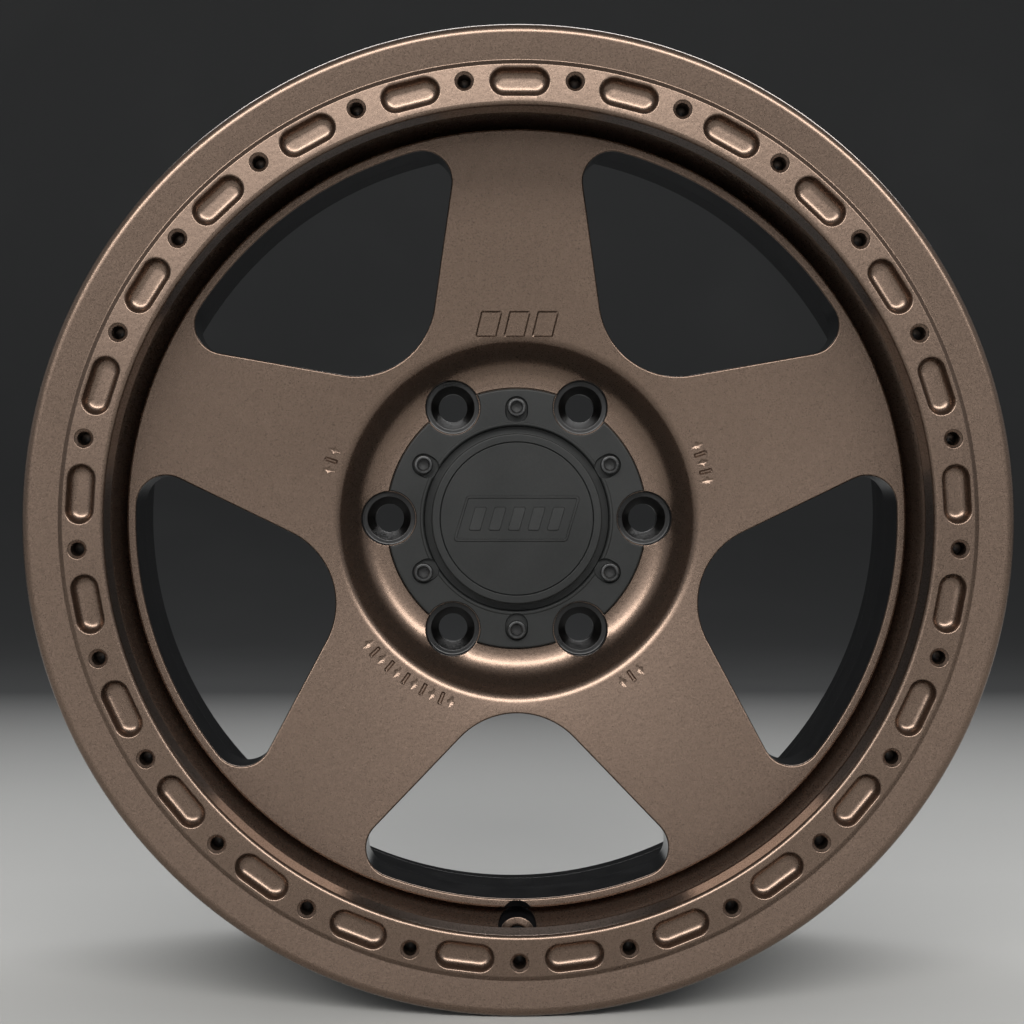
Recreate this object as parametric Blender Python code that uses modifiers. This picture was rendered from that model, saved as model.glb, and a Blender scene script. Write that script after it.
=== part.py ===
"""Forged five-spoke wheel rim, 18 x 9J, six studs on a 139.7 mm circle.

The wheel stands upright. Its spin axis is world Y, its front face looks along -Y, and the origin
is the middle of the rim on the spin axis. Every piece is modelled in a wheel frame whose Z axis
is the spin axis, pointing out of the front face, and whose Y axis points up. One empty turns that
frame upright. The hub mounting pad is the plane Z = 0 of the wheel frame.
"""

import math

import bmesh
import bpy
from mathutils import Matrix, Vector

MM = 0.001
GAP = 0.3 * MM  # clearance between neighbouring pieces

# Rim
RIM_STEPS = 48
HALF_WIDTH = 127.0 * MM
FLANGE_INSIDE = 114.3 * MM  # 9 inch width between the flanges' inner faces
FLANGE_RADIUS = 248.5 * MM
SEAT_RADIUS = 231.0 * MM
LEG_RADIUS = 226.0 * MM
WELL_RADIUS = 209.5 * MM
BARREL_INSIDE = 219.5 * MM
REAR_EDGE_RADIUS = 221.7 * MM
WELL_INSIDE = 204.2 * MM

# Raised front ring with its pockets and bolt holes
RING_INNER = 207.6 * MM
RING_OUTER = 228.6 * MM
RING_FACE = 126.4 * MM
RING_BACK = 105.0 * MM
RING_PATTERN = 25
SLOT_CIRCLE = 219.5 * MM
SLOT_LENGTH = 29.3 * MM
SLOT_WIDTH = 13.5 * MM
SLOT_DEPTH = 6.5 * MM
HOLE_CIRCLE = 221.1 * MM
HOLE_RADIUS = 3.35 * MM
HOLE_MOUTH_RADIUS = 5.0 * MM
HOLE_DEPTH = 15.0 * MM

# Disc and its five windows
DISC_EDGE_RADIUS = 207.8 * MM
DISC_EDGE_FACE = 52.6 * MM
BOWL_COVE_START = 74.5 * MM
BOWL_COVE = 17.0 * MM
BOWL_FLOOR = 23.0 * MM
BOWL_WALL_ANGLE = math.radians(49)
WINDOWS = 5
WINDOW_TIP = 105.1 * MM
WINDOW_TIP_ROUND = 42.8 * MM
WINDOW_SIDE_ANGLE = math.radians(44.2)
WINDOW_CORNER_ROUND = 15.5 * MM
WINDOW_OUTER = 203.2 * MM

# Hub
BORE_RADIUS = 53.05 * MM
PAD_RADIUS = 88.0 * MM
CAP_SEAT = 20.0 * MM
LUGS = 6
LUG_CIRCLE = 69.85 * MM
LUG_RECESS_RADIUS = 14.75 * MM
LUG_RECESS_FLOOR = CAP_SEAT - 0.4 * MM
LUG_INSERT_RADIUS = 12.5 * MM
LUG_INSERT_FOOT = 5.8 * MM
LUG_HOLE_RADIUS = 7.85 * MM
LUG_SEAT_RADIUS = 11.8 * MM

# Centre cap and its screws
CAP_RADIUS = 71.0 * MM
CAP_FACE = 27.0 * MM
CAP_GROOVE_OUTER = 51.2 * MM
CAP_GROOVE_FLOOR = 22.6 * MM
CAP_DISC_RADIUS = 46.2 * MM
CAP_DISC_FACE = 35.0 * MM
CAP_PLUG_RADIUS = 52.5 * MM
CAP_PLUG_FOOT = 10.0 * MM
EMBLEM_RADIUS = 41.4 * MM
EMBLEM_POCKET_FLOOR = 33.2 * MM
EMBLEM_FACE = 34.5 * MM
SCREWS = 6
SCREW_CIRCLE_UPRIGHT = 60.6 * MM  # the top and bottom screws
SCREW_CIRCLE_SIDE = 58.6 * MM  # the four at the sides
SCREW_HEAD_RADIUS = 5.0 * MM
SCREW_HEAD_HEIGHT = 6.0 * MM
SCREW_SHANK_RADIUS = 2.9 * MM
SCREW_LENGTH = 16.0 * MM
SCREW_RECESS_LENGTH = 14.7 * MM
SCREW_RECESS_WIDTH = 12.0 * MM
SCREW_RECESS_FLOOR = 24.5 * MM
INSERT_RADIUS = 3.9 * MM
INSERT_FOOT = 6.6 * MM

# Valve hole: its axis leans 45 degrees, square to the slope that it goes through
VALVE_HOLE_RADIUS = 5.65 * MM
VALVE_POCKET_RADIUS = 10.3 * MM
VALVE_FLOOR_RADIUS = 220.4 * MM
VALVE_FLOOR_HEIGHT = 50.0 * MM
VALVE_LEAN = math.radians(45)

# Colours and finishes: base colour, roughness, metallic
BRONZE = ((0.105, 0.078, 0.060), 0.42, 0.85)
SATIN_BLACK = ((0.028, 0.029, 0.030), 0.48, 0.0)
DARK_STEEL = ((0.060, 0.060, 0.058), 0.38, 0.9)
BLACK_OXIDE = ((0.032, 0.033, 0.034), 0.40, 0.6)
BRIGHT_STEEL = ((0.45, 0.45, 0.44), 0.30, 1.0)
RUBBER = ((0.015, 0.015, 0.015), 0.75, 0.0)


def clear_scene():
    for obj in list(bpy.data.objects):
        bpy.data.objects.remove(obj, do_unlink=True)


def new_collection(name):
    collection = bpy.data.collections.new(name)
    bpy.context.scene.collection.children.link(collection)
    return collection


def material(name, finish):
    colour, roughness, metallic = finish
    mat = bpy.data.materials.new(name)
    mat.use_nodes = True
    shader = mat.node_tree.nodes["Principled BSDF"]
    shader.inputs["Base Color"].default_value = (*colour, 1.0)
    shader.inputs["Roughness"].default_value = roughness
    shader.inputs["Metallic"].default_value = metallic
    return mat


def place(obj, parent, location=(0.0, 0.0, 0.0), rotation=(0.0, 0.0, 0.0)):
    obj.parent = parent
    obj.location = location
    obj.rotation_euler = rotation


def finish_part(obj, finish, smooth_angle=32):
    obj.data.materials.append(material(obj.name, finish))
    obj.data.shade_smooth()
    obj.data.set_sharp_from_angle(angle=math.radians(smooth_angle))


def mark_cutter(obj):
    obj.hide_render = True
    obj.display_type = "WIRE"


def turned(name, profile, steps, collection):
    """A turned solid: the profile of (radius, height) points goes round the Z axis.

    The points run out along the top, down the outer side and back in. A profile that starts away
    from the axis is closed into a ring.
    """
    mesh = bpy.data.meshes.new(name)
    bm = bmesh.new()
    verts = [bm.verts.new((radius, 0.0, height)) for radius, height in profile]
    for first, second in zip(verts, verts[1:]):
        bm.edges.new((first, second))
    if profile[0][0] > 0.0:
        bm.edges.new((verts[-1], verts[0]))
    bm.to_mesh(mesh)
    bm.free()
    obj = bpy.data.objects.new(name, mesh)
    collection.objects.link(obj)
    screw = obj.modifiers.new("Turn", "SCREW")
    screw.axis = "Z"
    screw.steps = steps
    screw.render_steps = steps
    screw.use_merge_vertices = True
    screw.merge_threshold = 0.00001
    screw.use_smooth_shade = True
    return obj


def prism(name, outline, low, high, collection):
    """A flat outline of (x, y) points, filled and extruded from one height to another."""
    curve = bpy.data.curves.new(name, "CURVE")
    curve.dimensions = "2D"
    curve.fill_mode = "BOTH"
    curve.extrude = (high - low) / 2
    spline = curve.splines.new("POLY")
    spline.points.add(len(outline) - 1)
    for point, (x, y) in zip(spline.points, outline):
        point.co = (x, y, 0.0, 1.0)
    spline.use_cyclic_u = True
    source = bpy.data.objects.new(name + "_outline", curve)
    collection.objects.link(source)
    bpy.context.view_layer.update()
    evaluated = source.evaluated_get(bpy.context.evaluated_depsgraph_get())
    mesh = bpy.data.meshes.new_from_object(evaluated)
    bm = bmesh.new()
    bm.from_mesh(mesh)
    bmesh.ops.remove_doubles(bm, verts=bm.verts, dist=0.00001)
    bmesh.ops.translate(bm, verts=bm.verts, vec=(0.0, 0.0, (low + high) / 2))
    bmesh.ops.recalc_face_normals(bm, faces=bm.faces)
    bm.to_mesh(mesh)
    bm.free()
    mesh.name = name
    obj = bpy.data.objects.new(name, mesh)
    collection.objects.link(obj)
    bpy.data.objects.remove(source, do_unlink=True)
    return obj


def copy_of(obj, name, collection):
    twin = obj.copy()
    twin.name = name
    collection.objects.link(twin)
    return twin


def cut(target, cutters, name):
    """Cut a whole collection of cutters from the target in one step."""
    modifier = target.modifiers.new(name, "BOOLEAN")
    modifier.operation = "DIFFERENCE"
    modifier.solver = "EXACT"
    modifier.operand_type = "COLLECTION"
    modifier.collection = cutters


def arc(centre, radius, start, end, points):
    """Points of an arc, from one angle to the other, both ends included."""
    step = (end - start) / (points - 1)
    angles = [start + index * step for index in range(points)]
    return [
        (centre[0] + radius * math.cos(angle), centre[1] + radius * math.sin(angle))
        for angle in angles
    ]


def clock(degrees):
    """The rotation about Z that takes the wheel frame's up direction clockwise round the face."""
    return -math.radians(degrees)


def on_circle(radius, degrees, height=0.0):
    angle = math.radians(degrees)
    return Vector((radius * math.sin(angle), radius * math.cos(angle), height))


def tyre_side():
    """Outer side of the rim, front to back: flange, bead seat, hump, leg, well and back again."""
    flange = [
        (245.6 * MM, HALF_WIDTH),
        (247.6 * MM, 125.9 * MM),
        (FLANGE_RADIUS, 123.8 * MM),
        (FLANGE_RADIUS, 122.0 * MM),
        (246.0 * MM, 118.0 * MM),
        (240.0 * MM, FLANGE_INSIDE + 0.5 * MM),
        (233.5 * MM, FLANGE_INSIDE - 0.3 * MM),
        (SEAT_RADIUS, 110.5 * MM),
    ]
    hump = [
        (SEAT_RADIUS - 1.5 * MM, 93.0 * MM),
        (SEAT_RADIUS - 0.4 * MM, 89.5 * MM),
        (LEG_RADIUS, 83.0 * MM),
    ]
    well = [
        (LEG_RADIUS, 48.5 * MM),
        (WELL_RADIUS, 32.0 * MM),
        (WELL_RADIUS, -14.0 * MM),
        (LEG_RADIUS, -36.0 * MM),
    ]
    rear = [(radius, -height) for radius, height in reversed(flange + hump)]
    return flange + hump + well + rear


def brake_side():
    """Inner side of the barrel from the rear edge, the back of the disc, the pad and the bore."""
    return [
        (234.0 * MM, -HALF_WIDTH),
        (230.0 * MM, -124.2 * MM),
        (REAR_EDGE_RADIUS + 1.2 * MM, -123.6 * MM),
        (REAR_EDGE_RADIUS, -122.2 * MM),
        (BARREL_INSIDE, -40.0 * MM),
        (WELL_INSIDE, -18.0 * MM),
        (WELL_INSIDE, 14.0 * MM),
        (197.0 * MM, 19.5 * MM),
        (104.0 * MM, 8.0 * MM),
        (PAD_RADIUS + 2.0 * MM, 6.0 * MM),
        (PAD_RADIUS, 4.0 * MM),
        (PAD_RADIUS, 0.0),
        (BORE_RADIUS + 1.5 * MM, 0.0),
        (BORE_RADIUS, 1.5 * MM),
        (BORE_RADIUS, CAP_SEAT),
    ]


def front_side():
    """Cap seat, bowl, spoke faces, channel, raised ring and dished lip, from the bore outwards."""
    cove_centre = (BOWL_COVE_START, BOWL_FLOOR + BOWL_COVE)
    cove = arc(cove_centre, BOWL_COVE, math.radians(-90), BOWL_WALL_ANGLE - math.radians(90), 4)
    rim = [(93.4 * MM, 36.2 * MM), (96.0 * MM, 38.5 * MM), (100.0 * MM, 40.1 * MM)]
    seat = [(CAP_RADIUS + GAP, CAP_SEAT), (CAP_RADIUS + GAP, BOWL_FLOOR)]
    disc = [
        (DISC_EDGE_RADIUS - 0.8 * MM, DISC_EDGE_FACE),
        (DISC_EDGE_RADIUS, DISC_EDGE_FACE - 0.8 * MM),
        (DISC_EDGE_RADIUS, 41.8 * MM),
        (DISC_EDGE_RADIUS + 1.2 * MM, 41.4 * MM),
        (BARREL_INSIDE, 51.9 * MM),
    ]
    ring = [
        (BARREL_INSIDE, RING_BACK - 3.5 * MM),
        (BARREL_INSIDE - 3.5 * MM, RING_BACK),
        (RING_INNER, RING_BACK),
        (RING_INNER, RING_FACE - 1.0 * MM),
        (RING_INNER + 1.0 * MM, RING_FACE),
        (RING_OUTER, RING_FACE),
    ]
    lip = [(RING_OUTER + 1.6 * MM, 125.0 * MM), (243.2 * MM, HALF_WIDTH)]
    return seat + cove + rim + disc + ring + lip


def window_outline():
    """One window, pointing up: a round inner tip, straight sides, round corners, an outer arc."""
    side = (math.sin(WINDOW_SIDE_ANGLE), math.cos(WINDOW_SIDE_ANGLE))
    outward = (side[1], -side[0])
    tip_centre = (0.0, WINDOW_TIP + WINDOW_TIP_ROUND)
    start = (
        tip_centre[0] + WINDOW_TIP_ROUND * outward[0],
        tip_centre[1] + WINDOW_TIP_ROUND * outward[1],
    )
    # The corner's centre lies on a line beside the straight side, at the arc's radius less its own
    base = (
        start[0] - WINDOW_CORNER_ROUND * outward[0],
        start[1] - WINDOW_CORNER_ROUND * outward[1],
    )
    reach = WINDOW_OUTER - WINDOW_CORNER_ROUND
    along = base[0] * side[0] + base[1] * side[1]
    off = base[0] ** 2 + base[1] ** 2 - reach**2
    travel = -along + math.sqrt(along**2 - off)
    corner_centre = (base[0] + travel * side[0], base[1] + travel * side[1])
    side_facing = math.atan2(outward[1], outward[0])
    corner_facing = math.atan2(corner_centre[1], corner_centre[0])
    tip = arc(tip_centre, WINDOW_TIP_ROUND, math.radians(-90), side_facing, 5)
    corner = arc(corner_centre, WINDOW_CORNER_ROUND, side_facing, corner_facing, 6)
    outer = arc((0.0, 0.0), WINDOW_OUTER, corner_facing, math.radians(90), 5)
    half = tip + corner + outer[1:]
    mirrored = [(-x, y) for x, y in reversed(half[1:-1])]
    return half + mirrored


def slot_outline(length, width):
    """A straight slot with round ends, lying along X."""
    radius = width / 2
    offset = length / 2 - radius
    right = arc((offset, 0.0), radius, math.radians(-90), math.radians(90), 4)
    left = arc((-offset, 0.0), radius, math.radians(90), math.radians(270), 4)
    return right + left


def screw_place(index, height=0.0):
    """Where a cap screw sits: 60 degrees apart, the top and bottom ones a little further out."""
    upright = index in (1, 4)
    circle = SCREW_CIRCLE_UPRIGHT if upright else SCREW_CIRCLE_SIDE
    return on_circle(circle, (index - 1) * 60.0, height)


def scatter(obj, count, first, radius, parent, collection):
    """Copies of a cutter round the wheel, each turned to face outwards; the first is itself."""
    step = 360.0 / count
    for index in range(count):
        degrees = first + index * step
        twin = obj if index == 0 else copy_of(obj, f"{obj.name}_{index + 1}", collection)
        place(twin, parent, on_circle(radius, degrees), (0.0, 0.0, clock(degrees)))
        mark_cutter(twin)


def cut_windows(forging, parent):
    cutters = new_collection("cutters_windows")
    cutter = prism("window_cutter", window_outline(), -6.0 * MM, 70.0 * MM, cutters)
    scatter(cutter, WINDOWS, 36.0, 0.0, parent, cutters)
    cut(forging, cutters, "Windows")


def cut_ring(forging, parent):
    cutters = new_collection("cutters_ring")
    above = RING_FACE + 3.0 * MM
    outline = slot_outline(SLOT_LENGTH, SLOT_WIDTH)
    slot = prism("slot_cutter", outline, RING_FACE - SLOT_DEPTH, above, cutters)
    scatter(slot, RING_PATTERN, 0.0, SLOT_CIRCLE, parent, cutters)
    mouth = HOLE_MOUTH_RADIUS - HOLE_RADIUS
    profile = [
        (0.0, above),
        (HOLE_MOUTH_RADIUS + 3.0 * MM, above),
        (HOLE_RADIUS, RING_FACE - mouth),
        (HOLE_RADIUS, RING_FACE - HOLE_DEPTH),
        (0.0, RING_FACE - HOLE_DEPTH),
    ]
    hole = turned("ring_hole_cutter", profile, 8, cutters)
    half_step = 180.0 / RING_PATTERN
    scatter(hole, RING_PATTERN, half_step, HOLE_CIRCLE, parent, cutters)
    cut(forging, cutters, "Ring pockets")


def cut_hub(forging, parent):
    cutters = new_collection("cutters_hub")
    above = 50.0 * MM
    bore = LUG_INSERT_RADIUS + GAP
    foot = LUG_INSERT_FOOT - GAP
    stud_hole = LUG_HOLE_RADIUS + 0.15 * MM
    lug_profile = [
        (0.0, above),
        (LUG_RECESS_RADIUS, above),
        (LUG_RECESS_RADIUS, LUG_RECESS_FLOOR),
        (bore, LUG_RECESS_FLOOR),
        (bore, foot),
        (stud_hole, foot),
        (stud_hole, -3.0 * MM),
        (0.0, -3.0 * MM),
    ]
    lug = turned("lug_cutter", lug_profile, 16, cutters)
    scatter(lug, LUGS, 30.0, LUG_CIRCLE, parent, cutters)
    insert_hole = INSERT_RADIUS + GAP
    screw_profile = [
        (0.0, CAP_SEAT + 2.0 * MM),
        (insert_hole, CAP_SEAT + 2.0 * MM),
        (insert_hole, INSERT_FOOT - GAP),
        (0.0, INSERT_FOOT - GAP),
    ]
    for index in range(1, SCREWS + 1):
        hole = turned(f"screw_hole_cutter_{index}", screw_profile, 10, cutters)
        place(hole, parent, screw_place(index))
        mark_cutter(hole)
    cut(forging, cutters, "Hub holes")


def cut_valve_hole(forging, parent):
    """The valve hole at the bottom of the wheel, with a round pocket that clears the valve."""
    cutters = new_collection("cutters_valve")
    profile = [
        (0.0, 40.0 * MM),
        (VALVE_POCKET_RADIUS, 40.0 * MM),
        (VALVE_POCKET_RADIUS, 0.0),
        (VALVE_HOLE_RADIUS, 0.0),
        (VALVE_HOLE_RADIUS, -14.0 * MM),
        (0.0, -14.0 * MM),
    ]
    cutter = turned("valve_cutter", profile, 20, cutters)
    centre = on_circle(VALVE_FLOOR_RADIUS, 180.0, VALVE_FLOOR_HEIGHT)
    place(cutter, parent, centre, (-VALVE_LEAN, 0.0, 0.0))
    mark_cutter(cutter)
    cut(forging, cutters, "Valve hole")


def build_forging(parts, parent):
    profile = tyre_side() + brake_side() + front_side()
    forging = turned("wheel_forging", profile, RIM_STEPS, parts)
    place(forging, parent)
    cut_windows(forging, parent)
    cut_ring(forging, parent)
    cut_hub(forging, parent)
    cut_valve_hole(forging, parent)
    finish_part(forging, BRONZE)


def build_lug_seats(parts, parent):
    """Steel seats in the stud holes, with a 60 degree cone for the nut."""
    cone_depth = (LUG_SEAT_RADIUS - LUG_HOLE_RADIUS) * math.tan(math.radians(60))
    top = LUG_RECESS_FLOOR
    profile = [
        (LUG_SEAT_RADIUS, top),
        (LUG_INSERT_RADIUS, top),
        (LUG_INSERT_RADIUS, LUG_INSERT_FOOT),
        (LUG_HOLE_RADIUS, LUG_INSERT_FOOT),
        (LUG_HOLE_RADIUS, top - cone_depth),
    ]
    for index in range(LUGS):
        seat = turned(f"lug_seat_{index + 1}", profile, 16, parts)
        degrees = 30.0 + index * 60.0
        place(seat, parent, on_circle(LUG_CIRCLE, degrees))
        finish_part(seat, DARK_STEEL)


def cut_cap(cap, parent):
    """Scallops that clear the lug recesses, and a hole in a radial recess for each screw."""
    cutters = new_collection("cutters_cap")
    scallop = [
        (0.0, 45.0 * MM),
        (LUG_RECESS_RADIUS + GAP, 45.0 * MM),
        (LUG_RECESS_RADIUS + GAP, 5.0 * MM),
        (0.0, 5.0 * MM),
    ]
    cutter = turned("scallop_cutter", scallop, 24, cutters)
    scatter(cutter, LUGS, 30.0, LUG_CIRCLE, parent, cutters)
    hole_profile = [
        (0.0, 30.0 * MM),
        (SCREW_SHANK_RADIUS + GAP, 30.0 * MM),
        (SCREW_SHANK_RADIUS + GAP, 15.0 * MM),
        (0.0, 15.0 * MM),
    ]
    outline = slot_outline(SCREW_RECESS_LENGTH, SCREW_RECESS_WIDTH)
    inwards = (SCREW_RECESS_LENGTH - SCREW_RECESS_WIDTH) / 2
    for index in range(1, SCREWS + 1):
        hole = turned(f"cap_hole_cutter_{index}", hole_profile, 12, cutters)
        centre = screw_place(index)
        place(hole, parent, centre)
        mark_cutter(hole)
        recess = prism(f"recess_cutter_{index}", outline, SCREW_RECESS_FLOOR, 30.0 * MM, cutters)
        turn = clock((index - 1) * 60.0) + math.radians(90)
        place(recess, parent, centre - inwards * centre.normalized(), (0.0, 0.0, turn))
        mark_cutter(recess)
    cut(cap, cutters, "Scallops and holes")


def build_cap(parts, parent):
    """Flanged centre cap: a screwed flange, a groove, a raised disc and a plug in the bore."""
    ring_groove = 49.6 * MM
    wall_inside = 42.5 * MM
    plug_inside = 47.5 * MM
    flange_back = CAP_SEAT + GAP
    profile = [
        (0.0, EMBLEM_POCKET_FLOOR),
        (EMBLEM_RADIUS + GAP, EMBLEM_POCKET_FLOOR),
        (EMBLEM_RADIUS + GAP, CAP_DISC_FACE),
        (CAP_DISC_RADIUS - 0.8 * MM, CAP_DISC_FACE),
        (CAP_DISC_RADIUS, CAP_DISC_FACE - 0.8 * MM),
        (CAP_DISC_RADIUS, CAP_GROOVE_FLOOR),
        (CAP_GROOVE_OUTER - 0.6 * MM, CAP_GROOVE_FLOOR),
        (CAP_GROOVE_OUTER - 0.6 * MM, CAP_FACE - 1.2 * MM),
        (CAP_GROOVE_OUTER + 0.6 * MM, CAP_FACE),
        (CAP_RADIUS - 0.6 * MM, CAP_FACE),
        (CAP_RADIUS, CAP_FACE - 0.6 * MM),
        (CAP_RADIUS, flange_back),
        (CAP_PLUG_RADIUS, flange_back),
        (CAP_PLUG_RADIUS, 17.5 * MM),
        (ring_groove, 17.5 * MM),
        (ring_groove, 14.1 * MM),
        (CAP_PLUG_RADIUS, 14.1 * MM),
        (CAP_PLUG_RADIUS, CAP_PLUG_FOOT),
        (plug_inside, CAP_PLUG_FOOT),
        (plug_inside, 19.5 * MM),
        (wall_inside, 19.5 * MM),
        (wall_inside, 30.0 * MM),
        (0.0, 30.0 * MM),
    ]
    cap = turned("centre_cap", profile, 36, parts)
    place(cap, parent)
    cut_cap(cap, parent)
    finish_part(cap, SATIN_BLACK)


def build_emblem(parts, parent):
    profile = [
        (0.0, EMBLEM_FACE),
        (EMBLEM_RADIUS - 0.5 * MM, EMBLEM_FACE),
        (EMBLEM_RADIUS, EMBLEM_FACE - 0.5 * MM),
        (EMBLEM_RADIUS, EMBLEM_POCKET_FLOOR + GAP),
        (0.0, EMBLEM_POCKET_FLOOR + GAP),
    ]
    emblem = turned("cap_emblem", profile, 36, parts)
    place(emblem, parent)
    finish_part(emblem, SATIN_BLACK)


def build_seal_ring(parts, parent):
    """The O-ring that holds the cap's plug in the hub bore."""
    section = arc((51.3 * MM, 15.8 * MM), 1.35 * MM, math.radians(90), math.radians(-210), 6)
    ring = turned("cap_seal_ring", section, 30, parts)
    place(ring, parent)
    finish_part(ring, RUBBER)


def build_screw(index, parts, parent):
    """A socket head screw, modelled at its own origin on its axis, under the head."""
    socket_radius = 2.9 * MM
    socket_floor = SCREW_HEAD_HEIGHT - 3.0 * MM
    profile = [
        (0.0, SCREW_HEAD_HEIGHT),
        (SCREW_HEAD_RADIUS - 0.6 * MM, SCREW_HEAD_HEIGHT),
        (SCREW_HEAD_RADIUS, SCREW_HEAD_HEIGHT - 0.6 * MM),
        (SCREW_HEAD_RADIUS, 0.0),
        (SCREW_SHANK_RADIUS, 0.0),
        (SCREW_SHANK_RADIUS, 0.8 * MM - SCREW_LENGTH),
        (SCREW_SHANK_RADIUS - 0.8 * MM, -SCREW_LENGTH),
        (0.0, -SCREW_LENGTH),
    ]
    seat = screw_place(index, SCREW_RECESS_FLOOR + GAP)
    screw = turned(f"cap_screw_{index}", profile, 16, parts)
    place(screw, parent, seat)
    cutters = new_collection(f"cutters_screw_{index}")
    mesh = bpy.data.meshes.new(f"socket_cutter_{index}")
    bm = bmesh.new()
    height = SCREW_HEAD_HEIGHT + 2.0 * MM - socket_floor
    lift = Matrix.Translation((0.0, 0.0, socket_floor + height / 2))
    bmesh.ops.create_cone(
        bm,
        cap_ends=True,
        segments=6,
        radius1=socket_radius,
        radius2=socket_radius,
        depth=height,
        matrix=lift,
    )
    bm.to_mesh(mesh)
    bm.free()
    socket = bpy.data.objects.new(mesh.name, mesh)
    cutters.objects.link(socket)
    place(socket, parent, seat)
    mark_cutter(socket)
    cut(screw, cutters, "Hex socket")
    finish_part(screw, BLACK_OXIDE)


def build_thread_insert(index, parts, parent):
    """A thread insert in the forging, which the cap screw turns into."""
    inside = SCREW_SHANK_RADIUS + GAP
    top = CAP_SEAT - GAP
    profile = [(inside, top), (INSERT_RADIUS, top), (INSERT_RADIUS, INSERT_FOOT), (inside, INSERT_FOOT)]
    insert = turned(f"thread_insert_{index}", profile, 10, parts)
    place(insert, parent, screw_place(index))
    finish_part(insert, BRIGHT_STEEL)


def main():
    clear_scene()
    parts = new_collection("forged_wheel_rim")
    upright = bpy.data.objects.new("wheel_frame", None)
    parts.objects.link(upright)
    upright.rotation_euler = (math.radians(90), 0.0, 0.0)
    build_forging(parts, upright)
    build_lug_seats(parts, upright)
    build_cap(parts, upright)
    build_emblem(parts, upright)
    build_seal_ring(parts, upright)
    for index in range(1, SCREWS + 1):
        build_screw(index, parts, upright)
        build_thread_insert(index, parts, upright)


main()
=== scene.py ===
"""The looks of the forged wheel rim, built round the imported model.

Shapes are made in the wheel's own frame, whose Z axis is the spin axis pointing out of the front
face and whose Y axis points up, in millimetres, and are then turned upright in metres.
"""

import math

import bmesh
import bpy
import numpy as np
from mathutils import Matrix, Vector

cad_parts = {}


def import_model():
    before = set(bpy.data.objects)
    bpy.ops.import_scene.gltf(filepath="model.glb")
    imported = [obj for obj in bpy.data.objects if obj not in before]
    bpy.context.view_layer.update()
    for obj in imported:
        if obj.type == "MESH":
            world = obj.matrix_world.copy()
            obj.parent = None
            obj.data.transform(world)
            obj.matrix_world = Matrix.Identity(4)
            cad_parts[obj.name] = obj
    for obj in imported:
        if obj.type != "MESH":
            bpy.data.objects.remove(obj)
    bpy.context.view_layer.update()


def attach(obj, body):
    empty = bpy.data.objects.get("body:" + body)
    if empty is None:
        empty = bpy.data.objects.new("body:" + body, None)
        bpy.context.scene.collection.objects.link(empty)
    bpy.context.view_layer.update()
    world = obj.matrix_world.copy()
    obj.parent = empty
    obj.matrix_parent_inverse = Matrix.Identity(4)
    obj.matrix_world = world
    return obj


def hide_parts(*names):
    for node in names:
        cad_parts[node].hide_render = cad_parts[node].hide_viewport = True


MM = 0.001
UPRIGHT = Matrix.Rotation(math.radians(90), 4, "X") @ Matrix.Scale(MM, 4)

# Rim, in millimetres, as in the CAD
HALF_WIDTH = 127.0
FLANGE_RADIUS = 248.5
RING_FACE = 126.6
RING_INNER = 207.6
RING_PATTERN = 25
RING_STEP = 360.0 / RING_PATTERN
SLOT_CIRCLE = 219.5
SLOT_LENGTH = 29.3
SLOT_WIDTH = 13.5
HOLE_CIRCLE = 221.15
HOLE_RADIUS = 3.35
HOLE_SINK_RADIUS = 4.55
VALVE_CIRCLE = 221.1
VALVE_HEIGHT = 49.3
DISC_EDGE_RADIUS = 207.8
BOWL_FLOOR = 23.0
CAP_SEAT = 20.0
WINDOWS = 5
WINDOW_TIP = 105.1
WINDOW_TIP_ROUND = 42.8
WINDOW_SIDE_ANGLE = math.radians(44.2)
WINDOW_CORNER_ROUND = 15.5
WINDOW_OUTER = 203.2
FRONT_ROUND = 1.0
BACK_ROUND = 2.0
BACK_ROUND_END = 199.0
BACK_ROUND_FADE = 6.0
LUGS = 6
LUG_ANGLES = [30.0 + index * 360.0 / LUGS for index in range(LUGS)]
LUG_CIRCLE = 69.85
LUG_RECESS_RADIUS = 14.75
LUG_RECESS_FLOOR = 19.6
LUG_BORE_RADIUS = 12.8
SCREWS = 6
SCREW_CIRCLE_UPRIGHT = 60.6
SCREW_CIRCLE_SIDE = 58.6
SCREW_RECESS_LENGTH = 14.7
SCREW_RECESS_WIDTH = 12.0
SCREW_RECESS_FLOOR = 24.5
SCREW_RADIUS = 2.9
SCREW_HEAD_RADIUS = 5.0
SCREW_HEAD_HEIGHT = 6.0
CAP_FLANGE = 27.0
CAP_HOLE_RADIUS = 3.2
EMBLEM_FACE = 34.3
EMBLEM_FOOT = 33.5

MARK_CIRCLE = 105.0
MARK_DEPTH = 0.8
# Rows of small marks: clock angle of the middle, number of marks and angle between marks
MARK_ROWS = [(73.2, 5, 2.7), (143.9, 3, 3.1), (214.9, 11, 3.0), (287.5, 3, 3.0)]

# Material slots of the forging's mesh: bronze paint, gloss black paint, and painted shade, a
# near-black put in bores and recesses where the bronze paint lies in shade
PAINT, BLACK, PAINTED_SHADE = 0, 1, 2
# Second material slots of the emblem's and the screws' meshes, the screws' one being painted shade
# in the hex socket
RELIEF = 1
SOCKET_PAINTED_SHADE = 1

# Sockets of a colour Mix node, whose float sockets have the same names
MIX_DARK, MIX_LIGHT, MIX_RESULT = 6, 7, 2

# The dish slopes 8 degrees from the ring's foot to the lip, whose rounded crest is the front plane
LIP_CORNER = HALF_WIDTH + 0.63
DISH_FOOT = LIP_CORNER - (FLANGE_RADIUS - 230.2) * math.tan(math.radians(8.0))

ROUND_STEPS = 300

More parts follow.
